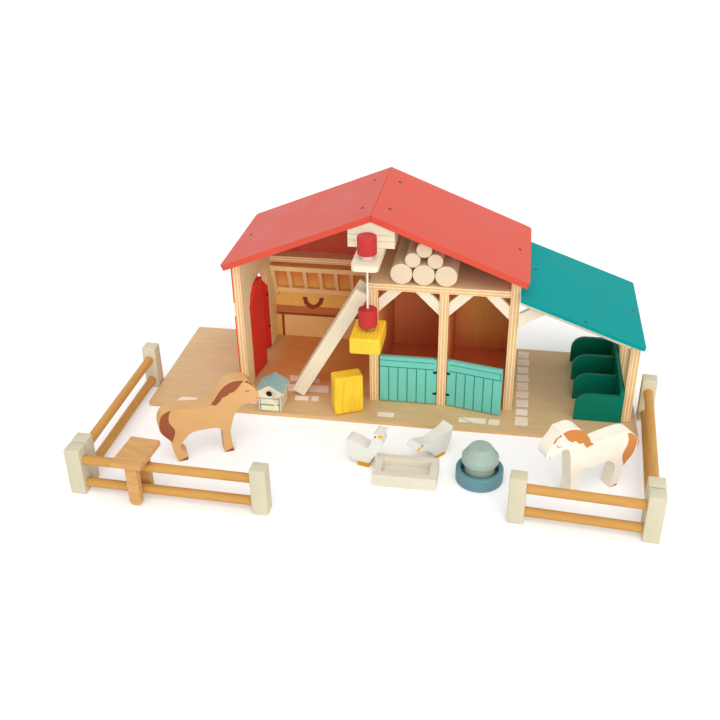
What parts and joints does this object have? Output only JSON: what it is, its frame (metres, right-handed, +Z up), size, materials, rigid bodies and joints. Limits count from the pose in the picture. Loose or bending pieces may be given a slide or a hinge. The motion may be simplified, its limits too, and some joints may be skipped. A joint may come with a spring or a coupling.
{
  "type": "wooden toy farm",
  "caption": "Open-fronted toy barn with hay loft, hinged doors, hoist, ladder and lean-to on a base board, with fences, animals, bales, trough, drinker, coop and stile.",
  "frame": {"origin": "middle of the base board's underside", "axes": "+X along the base board towards the lean-to, +Y from the open front to the back wall, +Z up"},
  "size_m": [0.5343, 0.3363, 0.2132],
  "materials": {
    "varnished_board": "clear satin varnish over pine board",
    "birch_ply": "clear satin varnish over birch ply",
    "birch": "clear satin varnish",
    "pale_beech": "bare sanded beech",
    "limewashed_wood": "pale limewashed finish",
    "post_wood": "pale limewashed finish",
    "stained_board": "warm stain",
    "red_roof_paint": "satin red paint on ply",
    "red_paint": "satin red paint",
    "teal_roof_paint": "satin teal paint on ply",
    "aqua_paint": "satin aqua paint",
    "green_paint": "satin green paint",
    "straw_paint": "satin yellow paint",
    "brown_stain": "satin stain and paint",
    "ivory_paint": "satin ivory paint",
    "white_paint": "satin white paint",
    "white_bush": "moulded bush",
    "slate_paint": "satin slate blue paint",
    "sage_paint": "satin sage paint",
    "cotton_cord": "twisted cotton",
    "black_steel": "black coated steel",
    "bright_steel": "bright steel"
  },
  "bodies": {
    "barn": {"base_board": "varnished_board", "left_wall": "birch_ply", "right_wall": "birch_ply", "partition": "birch_ply", "middle_partition": "birch_ply", "back_wall": "birch_ply", "loft_board": "birch_ply", "hay_shelf": "birch_ply", "ridge_beam": "limewashed_wood", "roof_left": "red_roof_paint", "roof_right": "red_roof_paint", "hoist_arm": "limewashed_wood", "hoist_bush": "white_bush", "stable_brace_1": "limewashed_wood", "stable_brace_2": "limewashed_wood", "stable_brace_3": "limewashed_wood", "stable_brace_4": "limewashed_wood", "lean_to_brace_front": "limewashed_wood", "lean_to_brace_rear": "limewashed_wood", "rafter_front": "limewashed_wood", "rafter_rear": "limewashed_wood", "lean_to_roof": "teal_roof_paint", "lean_to_end_wall": "birch_ply", "storage_rack": "green_paint", "stable_hinge_left": "black_steel", "stable_hinge_right": "black_steel", "barn_hinge_front": "black_steel", "barn_hinge_rear": "black_steel", "hay_rack": "birch"},
    "hoist": {"hoist_knob": "red_paint", "hoist_cord": "cotton_cord", "hoist_weight": "red_paint", "bale_magnet": "bright_steel"},
    "hanging_bale": {"hanging_bale": "straw_paint"},
    "stable_door_left": {"stable_door_left": "aqua_paint"},
    "stable_door_right": {"stable_door_right": "aqua_paint"},
    "barn_door_front": {"barn_door_front": "red_paint"},
    "barn_door_rear": {"barn_door_rear": "red_paint"},
    "ladder": {"ladder": "limewashed_wood"},
    "large_log_1": {"large_log_1": "pale_beech"},
    "large_log_2": {"large_log_2": "pale_beech"},
    "large_log_3": {"large_log_3": "pale_beech"},
    "small_log_1": {"small_log_1": "pale_beech"},
    "small_log_2": {"small_log_2": "pale_beech"},
    "small_log_3": {"small_log_3": "pale_beech"},
    "left_fence": {"left_fence": "post_wood"},
    "left_side_fence": {"left_side_fence": "post_wood"},
    "right_fence": {"right_fence": "post_wood"},
    "right_side_fence": {"right_side_fence": "post_wood"},
    "stile": {"stile": "stained_board"},
    "brown_horse": {"brown_horse": "brown_stain"},
    "white_horse": {"white_horse": "ivory_paint"},
    "upright_goose": {"upright_goose": "white_paint"},
    "feeding_goose": {"feeding_goose": "white_paint"},
    "trough": {"trough": "limewashed_wood"},
    "drinker_tray": {"drinker_tray": "slate_paint"},
    "drinker_jar": {"drinker_jar": "sage_paint"},
    "coop": {"coop": "ivory_paint"},
    "standing_bale": {"standing_bale": "straw_paint"}
  },
  "joints": [
    {"name": "stable_door_left_hinge", "type": "hinge", "parent": "barn", "child": "stable_door_left", "pos_m": [0.04661, -0.0443, 0.0052], "axis": [0, 0, 1], "range_deg": [-80, 90]},
    {"name": "stable_door_right_hinge", "type": "hinge", "parent": "barn", "child": "stable_door_right", "pos_m": [0.06021, -0.0443, 0.0052], "axis": [0, 0, -1], "range_deg": [-92.9, 77.1]},
    {"name": "barn_door_front_hinge", "type": "hinge", "parent": "barn", "child": "barn_door_front", "pos_m": [-0.1531, -0.0222, 0.0052], "axis": [0, 0, 1], "range_deg": [-82, 88]},
    {"name": "barn_door_rear_hinge", "type": "hinge", "parent": "barn", "child": "barn_door_rear", "pos_m": [-0.1531, 0.0502, 0.0052], "axis": [0, 0, 1], "range_deg": [-50, 120]},
    {"name": "hoist_pull", "type": "slide", "parent": "barn", "child": "hoist", "axis": [0, 0, 1], "range_m": [0, 0.035]},
    {"name": "hanging_bale_release", "type": "slide", "parent": "hoist", "child": "hanging_bale", "axis": [0, 0, -1], "range_m": [0, 0.02]},
    {"name": "ladder_lift", "type": "slide", "parent": "barn", "child": "ladder", "axis": [0, 0, 1], "range_m": [0, 0.04]},
    {"name": "large_log_1_pull_out", "type": "slide", "parent": "barn", "child": "large_log_1", "axis": [0, -1, 0], "range_m": [0, 0.05]},
    {"name": "large_log_2_pull_out", "type": "slide", "parent": "barn", "child": "large_log_2", "axis": [0, -1, 0], "range_m": [0, 0.05]},
    {"name": "large_log_3_pull_out", "type": "slide", "parent": "barn", "child": "large_log_3", "axis": [0, -1, 0], "range_m": [0, 0.05]},
    {"name": "small_log_1_pull_out", "type": "slide", "parent": "barn", "child": "small_log_1", "axis": [0, -1, 0], "range_m": [0, 0.05]},
    {"name": "small_log_2_pull_out", "type": "slide", "parent": "barn", "child": "small_log_2", "axis": [0, -1, 0], "range_m": [0, 0.05]},
    {"name": "small_log_3_pull_out", "type": "slide", "parent": "barn", "child": "small_log_3", "axis": [0, -1, 0], "range_m": [0, 0.05]},
    {"name": "left_fence_lift", "type": "slide", "parent": "barn", "child": "left_fence", "axis": [0, 0, 1], "range_m": [0, 0.03]},
    {"name": "left_side_fence_lift", "type": "slide", "parent": "barn", "child": "left_side_fence", "axis": [0, 0, 1], "range_m": [0, 0.03]},
    {"name": "right_fence_lift", "type": "slide", "parent": "barn", "child": "right_fence", "axis": [0, 0, 1], "range_m": [0, 0.03]},
    {"name": "right_side_fence_lift", "type": "slide", "parent": "barn", "child": "right_side_fence", "axis": [0, 0, 1], "range_m": [0, 0.03]},
    {"name": "stile_lift", "type": "slide", "parent": "left_fence", "child": "stile", "axis": [0, 0, 1], "range_m": [0, 0.04]},
    {"name": "brown_horse_lift", "type": "slide", "parent": "barn", "child": "brown_horse", "axis": [0, 0, 1], "range_m": [0, 0.03]},
    {"name": "white_horse_lift", "type": "slide", "parent": "barn", "child": "white_horse", "axis": [0, 0, 1], "range_m": [0, 0.03]},
    {"name": "upright_goose_lift", "type": "slide", "parent": "barn", "child": "upright_goose", "axis": [0, 0, 1], "range_m": [0, 0.03]},
    {"name": "feeding_goose_lift", "type": "slide", "parent": "barn", "child": "feeding_goose", "axis": [0, 0, 1], "range_m": [0, 0.03]},
    {"name": "trough_slide", "type": "slide", "parent": "barn", "child": "trough", "axis": [0, -1, 0], "range_m": [0, 0.03]},
    {"name": "drinker_tray_lift", "type": "slide", "parent": "barn", "child": "drinker_tray", "axis": [0, 0, 1], "range_m": [0, 0.03]},
    {"name": "coop_lift", "type": "slide", "parent": "barn", "child": "coop", "axis": [0, 0, 1], "range_m": [0, 0.03]},
    {"name": "standing_bale_lift", "type": "slide", "parent": "barn", "child": "standing_bale", "axis": [0, 0, 1], "range_m": [0, 0.03]},
    {"name": "drinker_jar_lift", "type": "slide", "parent": "drinker_tray", "child": "drinker_jar", "axis": [0, 0, 1], "range_m": [0, 0.04]}
  ]
}
